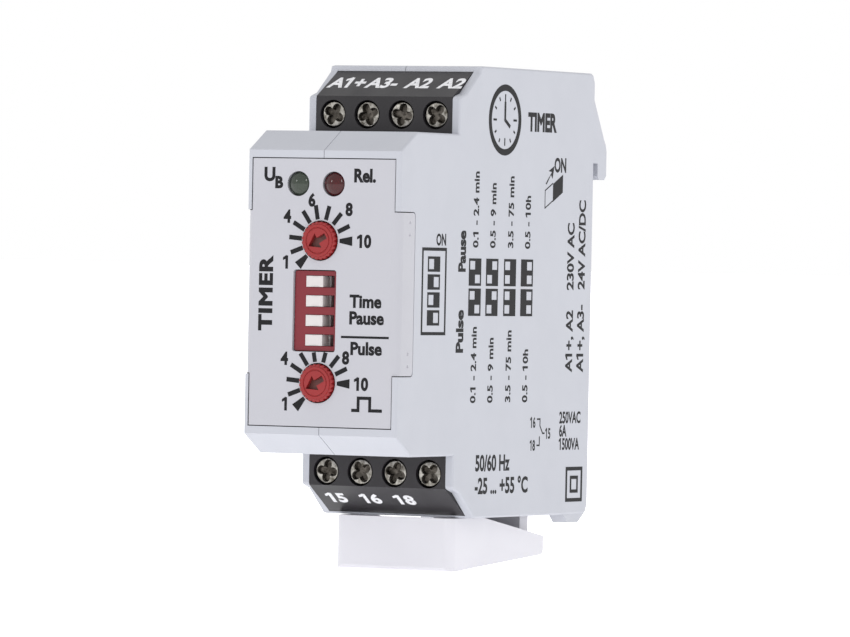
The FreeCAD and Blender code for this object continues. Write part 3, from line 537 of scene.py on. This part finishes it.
def painted_seam_shadow():
    """Painted shadow: a dark strip lying in the gap round the plate, above and below, as far as its side
    lugs, standing for the shade in that gap.
    """
    corners = [vertex.co / MM for vertex in NODES["front_plate"].data.vertices]
    tall = max(corner.z for corner in corners) + SEAM_IN
    side = max(corner.x for corner in corners if corner.z > 0.9 * tall) + SEAM_IN
    lug = max(corner.z for corner in corners if corner.x > side + 0.3) + SEAM_IN
    p = Print((0, FRONT_Y + SEAM_BED * MM, 0), (1, 0, 0), (0, 0, 1))
    p.PROUD, p.SUNK = SEAM_PROUD * MM, SEAM_SUNK * MM
    for sign in (1, -1):
        low, high = sign * lug, sign * tall
        p.line([(-side, low), (-side, high), (side, high), (side, low)], SEAM_WIDE)
    p.PROUD = SEAM_PROUD_AT_LUG * MM
    for sign in (1, -1):
        for end in (1, -1):
            path = [(end * (side + reach), sign * lug) for reach in SEAM_AT_LUG]
            p.line(path, SEAM_WIDE)
    return p.finish("painted_seam_shadow", DARK_INK_AND_SEAM_SHADOW, "housing", "plate_plastic")


def toggle(p, u0, v0, u1, v1, left):
    """One switch picture: a dark frame, its blank half on the side where the slider stands."""
    line = 0.34
    mid = (u0 + u1) / 2
    if left:
        hole = [(u0 + line, v0 + line), (mid, v0 + line), (mid, v1 - line), (u0 + line, v1 - line)]
    else:
        hole = [(mid, v0 + line), (u1 - line, v0 + line), (u1 - line, v1 - line), (mid, v1 - line)]
    p.polygon([(u0, v0), (u1, v0), (u1, v1), (u0, v1)], [hole])


RANGES = ("0.1 - 2.4 min", "0.5 - 9 min", "3.5 - 75 min", "0.5 - 10h")
RANGE_COLUMNS = (21.4, 26.3, 31.45, 36.4)
RANGE_STATES = ((True, False), (False, True), (True, True), (False, False))


def side_print():
    """Switch key, time ranges, supply and contact ratings, and a clock sign on the right-hand side."""
    p = Print((SIDE_X, FRONT_Y, 0), (0, 1, 0), (0, 0, 1))
    # switch key
    p.frame(6.4, -5.25, 13.3, 6.15, 0.42)
    for row, left in enumerate((True, False, True, False)):
        middle_v = 4.0 - 2.33 * row
        toggle(p, 8.05, middle_v - 1.0, 11.5, middle_v + 1.0, left)
    p.text("ON", 11.7, 7.25, 1.5, squeeze=0.85, bold=0.08)
    # time ranges
    for column, words, states in zip(RANGE_COLUMNS, RANGES, RANGE_STATES):
        for top in (4.85, 0.9):
            for row, left in enumerate(states):
                high = top - 1.8 * row
                toggle(p, column - 1.75, high - 1.8, column + 1.75, high, left)
        p.text(words, column, 6.25, 1.5, align="LEFT", turn=90, bold=0.07, squeeze=0.93, gap=1.03)
        p.text(words, column, -14.15, 1.5, align="LEFT", turn=90, bold=0.07, squeeze=0.93, gap=1.03)
    p.text("Pause", 17.6, 3.0, 2.0, align="LEFT", turn=90, bold=0.13, squeeze=0.86)
    p.text("Pulse", 17.3, -7.6, 2.0, align="LEFT", turn=90, bold=0.13, squeeze=0.98)
    # supply, and how the slide switch works
    p.text("A1+, A2    230V AC", 49.2, -10.1, 2.0, align="LEFT", turn=90, bold=0.09, squeeze=0.88)
    p.text("A1+, A3-   24V AC/DC", 52.5, -10.1, 2.0, align="LEFT", turn=90, bold=0.09, squeeze=0.88)
    p.text("ON", 45.7, 17.6, 1.9, squeeze=0.86, bold=0.1)
    p.polygon([(43.6, 12.6), (46.5, 13.9), (46.5, 16.3), (43.6, 15.0)])
    p.line([(43.6, 12.75), (41.3, 11.75), (41.3, 14.1), (43.6, 15.1)], 0.16)
    p.polygon([
        (41.4, 15.0), (43.2, 16.6), (42.2, 16.7), (43.9, 17.4), (43.4, 15.7), (42.9, 16.2), (41.7, 14.9),
    ])
    # contact and load
    p.text("16", 39.0, -16.8, 1.4, squeeze=0.8, bold=0.06)
    p.text("18", 39.0, -19.85, 1.4, squeeze=0.8, bold=0.06)
    p.text("15", 43.5, -18.3, 1.4, squeeze=0.8, bold=0.06)
    p.line([(40.2, -16.4), (41.1, -16.4), (41.1, -17.3), (41.9, -18.3), (42.5, -18.3)], 0.22)
    p.line([(40.2, -19.9), (41.0, -19.9), (41.0, -18.7)], 0.22)
    for row, words in enumerate(("250VAC", "6A", "1500VA")):
        p.text(words, 46.8, -16.2 - 1.78 * row, 1.55, align="LEFT", squeeze=0.86, bold=0.07)
    p.text("50/60 Hz", 22.5, -22.0, 2.1, align="LEFT", bold=0.1, squeeze=0.92)
    p.text("-25 ... +55 °C", 22.5, -25.0, 2.1, align="LEFT", bold=0.1, squeeze=0.97)
    # double insulation sign
    p.frame(49.0, -27.6, 54.0, -22.9, 0.5)
    p.frame(50.3, -26.4, 52.7, -24.1, 0.45)
    # clock sign
    clock(p, 29.2, 23.2, 4.7)
    p.text("TIMER", 36.0, 23.2, 2.4, align="LEFT", bold=0.16, squeeze=0.9)
    return p.finish("side_print", DARK_INK_AND_SEAM_SHADOW, "housing", "housing_plastic")


def ring(u, v, radius, steps=64):
    return [
        (u + radius * math.cos(2 * math.pi * i / steps), v + radius * math.sin(2 * math.pi * i / steps))
        for i in range(steps)
    ]


def clock(p, u, v, radius):
    """A plain clock face with hour marks and two hands."""
    p.polygon(ring(u, v, radius), [ring(u, v, radius - 0.85)])
    for hour in range(12):
        angle = math.radians(30 * hour)
        reach = 1.0 if hour % 3 == 0 else 0.55
        outer = radius - 1.3
        tip = (u + outer * math.sin(angle), v + outer * math.cos(angle))
        root = (u + (outer - reach) * math.sin(angle), v + (outer - reach) * math.cos(angle))
        p.line([root, tip], 0.28)
    p.line([(u, v + 2.4), (u, v), (u + 1.5, v - 0.9)], 0.5)


def slope_print(name, block, sign, words, fraction, height, spots, squeeze):
    """White terminal numbers on a block's sloping face, a fraction of the way back along it."""
    low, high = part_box(block)
    edges = [vertex.co for vertex in NODES[block].data.vertices if abs(vertex.co.x - high.x) < 0.01 * MM]
    front = max((co for co in edges if co.y < low.y + 0.01 * MM), key=lambda co: sign * co.z)
    crest = min((co for co in edges if sign * co.z > sign * front.z + 2.5 * MM), key=lambda co: co.y)
    slope = (crest - front) * sign
    foot = front.lerp(crest, fraction)
    p = Print((0, foot.y, foot.z), (1, 0, 0), slope)
    for word, spot in zip(words, spots):
        p.text(word, spot, 0, height, bold=0.13, squeeze=squeeze)
    return p.finish(name, WHITE_INK, "housing", "terminal_plastic")


# ---- finer turned parts ----


class Turned:
    """A closed round body about an axis along Y, its radius and depth free to vary with the angle."""

    def __init__(self, centre, steps):
        self.centre = centre
        self.angles = [2 * math.pi * step / steps for step in range(steps)]
        self.verts = []
        self.faces = []
        self.rings = []

    def ring(self, radius, depth):
        """One ring; radius and depth are numbers or functions of the angle, in metres; depth is Y."""
        start = len(self.verts)
        for angle in self.angles:
            r = radius(angle) if callable(radius) else radius
            y = depth(angle) if callable(depth) else depth
            self.verts.append((self.centre.x + r * math.sin(angle), y, self.centre.z + r * math.cos(angle)))
        count = len(self.angles)
        if self.rings:
            last = self.rings[-1]
            for step in range(count):
                after = (step + 1) % count
                self.faces.append((last + step, last + after, start + after, start + step))
        self.rings.append(start)

    def cap(self, ring, depth):
        """Closes a ring with a fan to its middle."""
        hub = len(self.verts)
        self.verts.append((self.centre.x, depth, self.centre.z))
        start, count = self.rings[ring], len(self.angles)
        for step in range(count):
            self.faces.append((start + step, start + (step + 1) % count, hub))

    def mesh(self, name):
        mesh = bpy.data.meshes.new(name)
        mesh.from_pydata(self.verts, [], self.faces)
        mesh.validate()
        return mesh


def smooth(value, start, end):
    """0 before start, 1 after end, with a smooth rise between."""
    t = min(max((value - start) / (end - start), 0), 1)
    return t * t * (3 - 2 * t)


UPPER_TURNS = (28, -20, 12, 36)
LOWER_TURNS = (8, -32, 20, 41)
SCREW_STEPS = 96
SCREW_EDGE = 0.26 * MM
LOBE_WIDE = 0.92
LOBE_NARROW = 0.45
LOBE_DEEP = 0.85 * MM
LOBE_BEVEL = 0.16
LOBE_SHARP = 0.55
SCREW_HEAD_LONG = 1.3 * MM
SCREW_SHANK_INSET = 0.48 * MM
SCREW_CROWN = 0.10 * MM
RIM_START = 0.90
RIM_FRONT = 0.08 * MM
# Depth below which the screw recess is given painted shade.
RECESS_SHADE_DEEP = 0.42 * MM
THREAD_PITCH = 0.45 * MM
THREAD_DEEP = 0.16 * MM
THREAD_RINGS_PER_TURN = 6


def clamp_screw(node, turn):
    """Clamp screw: a crowned head with a four-lobed cross recess, a neck and a threaded shank."""
    low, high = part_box(node)
    centre = (low + high) / 2
    head_r = (high.x - low.x) / 2
    front, back = low.y, high.y
    head_back = front + SCREW_HEAD_LONG
    shank_r = head_r - SCREW_SHANK_INSET
    turned = Turned(centre, SCREW_STEPS)

    def edge(angle):
        lobe = 0.5 + 0.5 * math.cos(4 * (angle - turn))
        return LOBE_NARROW + (LOBE_WIDE - LOBE_NARROW) * lobe**LOBE_SHARP

    def face(share):
        def depth(angle):
            inside = 1 - smooth(share, edge(angle) - LOBE_BEVEL, edge(angle))
            floor = LOBE_DEEP * (1 - 0.25 * share)
            crown = SCREW_CROWN * share**2
            return front + crown + inside * floor
        return depth

    shares = [0.08, 0.16, 0.24] + [0.28 + 0.025 * step for step in range(25)] + [RIM_START]
    for share in shares:
        turned.ring(share * head_r, face(share))
    turned.cap(0, front + LOBE_DEEP + 0.1 * MM)
    for step in range(1, 5):
        swing = math.pi / 2 * step / 4
        reach = RIM_START + (1 - RIM_START) * math.sin(swing)
        turned.ring(head_r * reach, front + RIM_FRONT + SCREW_EDGE * (1 - math.cos(swing)))
    turned.ring(head_r, head_back - 0.1 * MM)
    turned.ring(head_r - 0.1 * MM, head_back)
    turned.ring(shank_r, head_back)
    rings = int((back - head_back - 0.4 * MM) / THREAD_PITCH * THREAD_RINGS_PER_TURN)
    for index in range(rings + 1):
        y = head_back + 0.2 * MM + index * THREAD_PITCH / THREAD_RINGS_PER_TURN

        def crest(angle, y=y):
            place = (y / THREAD_PITCH - angle / (2 * math.pi)) % 1.0
            return shank_r - THREAD_DEEP * abs(2 * place - 1)

        turned.ring(crest, y)
    turned.ring(shank_r - THREAD_DEEP, back - 0.1 * MM)
    turned.ring(shank_r - THREAD_DEEP - 0.15 * MM, back)
    turned.cap(-1, back)
    made = piece(f"fine_{node}", turned.mesh(node), LOOKS["screw_steel"], node, 32)
    # Faces deep in the cross recess take the darker metal: painted shade in the recess.
    made.data.materials.append(RECESS_SHADE_METAL)
    for polygon in made.data.polygons:
        offset = polygon.center - centre
        inside = math.hypot(offset.x, offset.z) < RIM_START * head_r
        if inside and front + RECESS_SHADE_DEEP < polygon.center.y < head_back - 0.2 * MM:
            polygon.material_index = 1
    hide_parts(node)


KNOB_STEPS = 240
KNOB_TEETH = 24
TOOTH_DEEP = 0.16 * MM
KNOB_RING_R = 1.62 * MM
KNOB_STEP_R = 2.10 * MM
KNOB_STEP_DEEP = 0.15 * MM
KNOB_CAP_LONG = 1.6 * MM
KNOB_STEM_R = 1.5 * MM
KNOB_WIPER_R = 2.4 * MM
KNOB_WIPER_FRONT = 4.5 * MM
ARROW_RIGHT = [(0.4, -1.33), (0.4, -0.05), (1.05, -0.05)]
ARROW = ARROW_RIGHT + [(0.0, 1.55)] + [(-x, z) for x, z in reversed(ARROW_RIGHT)]
ARROW_TURN = -119
ARROW_DEEP = 0.7 * MM


def prism(name, outline, centre, turn, front, back):
    """A straight prism along Y over an outline in mm, turned about its centre."""
    made = bmesh.new()
    spin = math.radians(turn)
    ends = []
    for y in (front, back):
        row = []
        for x, z in outline:
            across = x * math.cos(spin) + z * math.sin(spin)
            high = -x * math.sin(spin) + z * math.cos(spin)
            row.append(made.verts.new((centre.x + across * MM, y, centre.z + high * MM)))
        ends.append(row)
    made.faces.new(ends[0])
    made.faces.new(ends[1][::-1])
    for index in range(len(outline)):
        after = (index + 1) % len(outline)
        made.faces.new((ends[0][index], ends[1][index], ends[1][after], ends[0][after]))
    bmesh.ops.recalc_face_normals(made, faces=made.faces)
    mesh = bpy.data.meshes.new(name)
    made.to_mesh(mesh)
    made.free()
    return mesh


def carve(mesh, cutter):
    """The mesh with the cutter's volume taken out; both inputs are used up."""
    body = bpy.data.objects.new("carved", mesh)
    tool = bpy.data.objects.new("cutter", cutter)
    for item in (body, tool):
        bpy.context.scene.collection.objects.link(item)
    boolean = body.modifiers.new("carve", "BOOLEAN")
    boolean.operation = "DIFFERENCE"
    boolean.solver = "EXACT"
    boolean.object = tool
    bpy.context.view_layer.update()
    shown = body.evaluated_get(bpy.context.evaluated_depsgraph_get())
    result = bpy.data.meshes.new_from_object(shown)
    for item in (body, tool):
        bpy.data.objects.remove(item)
    return result


def fine_knob(node):
    """Adjusting knob: serrated rim, two ring steps, a sunken arrow recess with painted shade on its floor,
    stem and wiper disc.
    """
    low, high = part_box(node)
    centre = (low + high) / 2
    cap_r = (high.x - low.x) / 2
    front, back = low.y, high.y
    cap_back = FRONT_Y + KNOB_CAP_LONG
    turned = Turned(centre, KNOB_STEPS)

    def rim(inset):
        def radius(angle):
            tooth = (0.5 + 0.5 * math.cos(KNOB_TEETH * angle)) ** 2
            return cap_r - inset - TOOTH_DEEP * tooth
        return radius

    turned.ring(0.1 * MM, front)
    turned.cap(0, front)
    bevel = 0.04 * MM
    turned.ring(KNOB_RING_R - bevel, front)
    turned.ring(KNOB_RING_R, front + bevel)
    turned.ring(KNOB_RING_R + 0.02 * MM, front + 0.1 * MM)
    turned.ring(KNOB_RING_R + 0.09 * MM, front + 0.1 * MM)
    turned.ring(KNOB_RING_R + 0.12 * MM, front + bevel)
    turned.ring(KNOB_RING_R + 0.15 * MM, front)
    turned.ring(KNOB_STEP_R - bevel, front)
    turned.ring(KNOB_STEP_R, front + bevel)
    turned.ring(KNOB_STEP_R + 0.03 * MM, front + KNOB_STEP_DEEP)
    turned.ring(rim(0.24 * MM), front + KNOB_STEP_DEEP)
    turned.ring(rim(0.1 * MM), front + KNOB_STEP_DEEP + 0.04 * MM)
    turned.ring(rim(0.02 * MM), front + KNOB_STEP_DEEP + 0.12 * MM)
    turned.ring(rim(0), front + KNOB_STEP_DEEP + 0.24 * MM)
    turned.ring(rim(0), front + 1.0 * MM)
    turned.ring(cap_r - 0.02 * MM, front + 1.1 * MM)
    turned.ring(cap_r - 0.02 * MM, cap_back)
    turned.ring(KNOB_STEM_R, cap_back)
    turned.ring(KNOB_STEM_R, FRONT_Y + KNOB_WIPER_FRONT)
    turned.ring(KNOB_WIPER_R, FRONT_Y + KNOB_WIPER_FRONT)
    turned.ring(KNOB_WIPER_R, back)
    turned.cap(-1, back)
    arrow = prism("arrow", ARROW, centre, ARROW_TURN, front - MM, front + ARROW_DEEP)
    solid = turned.mesh(node)
    clean = bmesh.new()
    clean.from_mesh(solid)
    bmesh.ops.recalc_face_normals(clean, faces=clean.faces)
    clean.to_mesh(solid)
    clean.free()
    made = piece(f"fine_{node}", carve(solid, arrow), LOOKS["knob_plastic"], node, 28)
    # Faces deep in the arrow recess take the darker red: painted shade.
    made.data.materials.append(ARROW_RECESS_SHADE)
    for polygon in made.data.polygons:
        offset = polygon.center - centre
        painted_shade = front + 0.3 * MM < polygon.center.y < front + ARROW_DEEP + 0.01 * MM
        if painted_shade and math.hypot(offset.x, offset.z) < 1.5 * MM:
            polygon.material_index = 1
    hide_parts(node)


# ---- camera, light and ground ----

CAMERA_AZIMUTH = 27.712
CAMERA_PITCH = 0.408
CAMERA_ROLL = 1.119
CAMERA_DISTANCE = 1.0522
CAMERA_LENS = 338.4
CAMERA_AIM = Vector((3.70, -33.83, -3.19)) * MM


def camera():
    azimuth, pitch = math.radians(CAMERA_AZIMUTH), math.radians(CAMERA_PITCH)
    level_out = math.cos(pitch)
    back = Vector((math.sin(azimuth) * level_out, -math.cos(azimuth) * level_out, math.sin(pitch)))
    level = (-back).cross(Vector((0, 0, 1))).normalized()
    upright = level.cross(-back)
    roll = math.radians(CAMERA_ROLL)
    right = level * math.cos(roll) + upright * math.sin(roll)
    up = upright * math.cos(roll) - level * math.sin(roll)
    data = bpy.data.cameras.new("camera")
    data.lens = CAMERA_LENS
    data.sensor_width = 36
    data.clip_start, data.clip_end = 0.05, 200
    made = bpy.data.objects.new("camera", data)
    bpy.context.scene.collection.objects.link(made)
    turn = Matrix((right, up, back)).transposed().to_4x4()
    made.matrix_world = Matrix.Translation(CAMERA_AIM + back * CAMERA_DISTANCE) @ turn
    bpy.context.scene.camera = made


def area_light(name, place, aim, size, power, colour=(1, 1, 1)):
    data = bpy.data.lights.new(name, "AREA")
    data.shape = "RECTANGLE"
    data.size, data.size_y = size
    data.energy = power
    data.color = colour
    made = bpy.data.objects.new(name, data)
    bpy.context.scene.collection.objects.link(made)
    made.location = place
    made.rotation_mode = "QUATERNION"
    made.rotation_quaternion = (Vector(aim) - Vector(place)).to_track_quat("-Z", "Y")


def studio():
    world = bpy.data.worlds.new("studio")
    world.use_nodes = True
    back = world.node_tree.nodes["Background"]
    back.inputs["Color"].default_value = (1, 1, 1, 1)
    back.inputs["Strength"].default_value = 1.0
    bpy.context.scene.world = world
    centre = (cad_box[0] + cad_box[1]) / 2
    area_light("key", centre + Vector((0.5, -0.6, 0.4)), centre, (0.04, 0.2), 0.5)
    area_light("fill", centre + Vector((-0.45, -0.6, 0.25)), centre, (0.04, 0.12), 0.3)
    scene = bpy.context.scene
    scene.view_settings.view_transform = "Standard"
    scene.view_settings.look = "None"


FLOOR_HALF = 40.0
FLOOR_GAP = 0.02 * MM


def ground():
    """A wide pale floor just under the resting latch."""
    level = cad_box[0].z - FLOOR_GAP
    corners = [(-1, -1), (1, -1), (1, 1), (-1, 1)]
    mesh = bpy.data.meshes.new("floor")
    mesh.from_pydata([(x * FLOOR_HALF, y * FLOOR_HALF, level) for x, y in corners], [], [(0, 1, 2, 3)])
    n = Nodes("floor_paper")
    cloud = n.noise(60.0, detail=2.0)
    tint = n.mix(n.spread(cloud, 0.0, 1.0), srgb(246, 246, 247), srgb(250, 250, 250))
    material = n.finish(Base_Color=tint, Roughness=0.8, Emission_Color=(1, 1, 1, 1), Emission_Strength=0.75)
    mesh.materials.append(material)
    made = bpy.data.objects.new("floor", mesh)
    bpy.context.scene.collection.objects.link(made)


# ---- the whole picture ----

SLOTS = {entry["node"]: entry["material_slot"] for entry in RECORD["subparts"]}
for node, shown in NODES.items():
    shown.data.materials.clear()
    shown.data.materials.append(LOOKS[SLOTS[node]])

front_print()
painted_seam_shadow()
side_print()
slope_print(
    "upper_numbers", "upper_terminal_block", 1,
    ("A1+", "A3-", "A2", "A2"), 0.55, 2.6, (-7.0, -1.8, 3.6, 8.5), 0.84,
)
slope_print(
    "lower_numbers", "lower_terminal_block", -1,
    ("15", "16", "18"), 0.46, 2.25, (-7.35, -2.3, 2.75), 0.94,
)
for row, turns in (("upper", UPPER_TURNS), ("lower", LOWER_TURNS)):
    for index, turn in enumerate(turns):
        clamp_screw(f"{row}_screw_{index + 1}", math.radians(turn))
for row in ("upper", "lower"):
    fine_knob(f"{row}_knob")
camera()
studio()
ground()
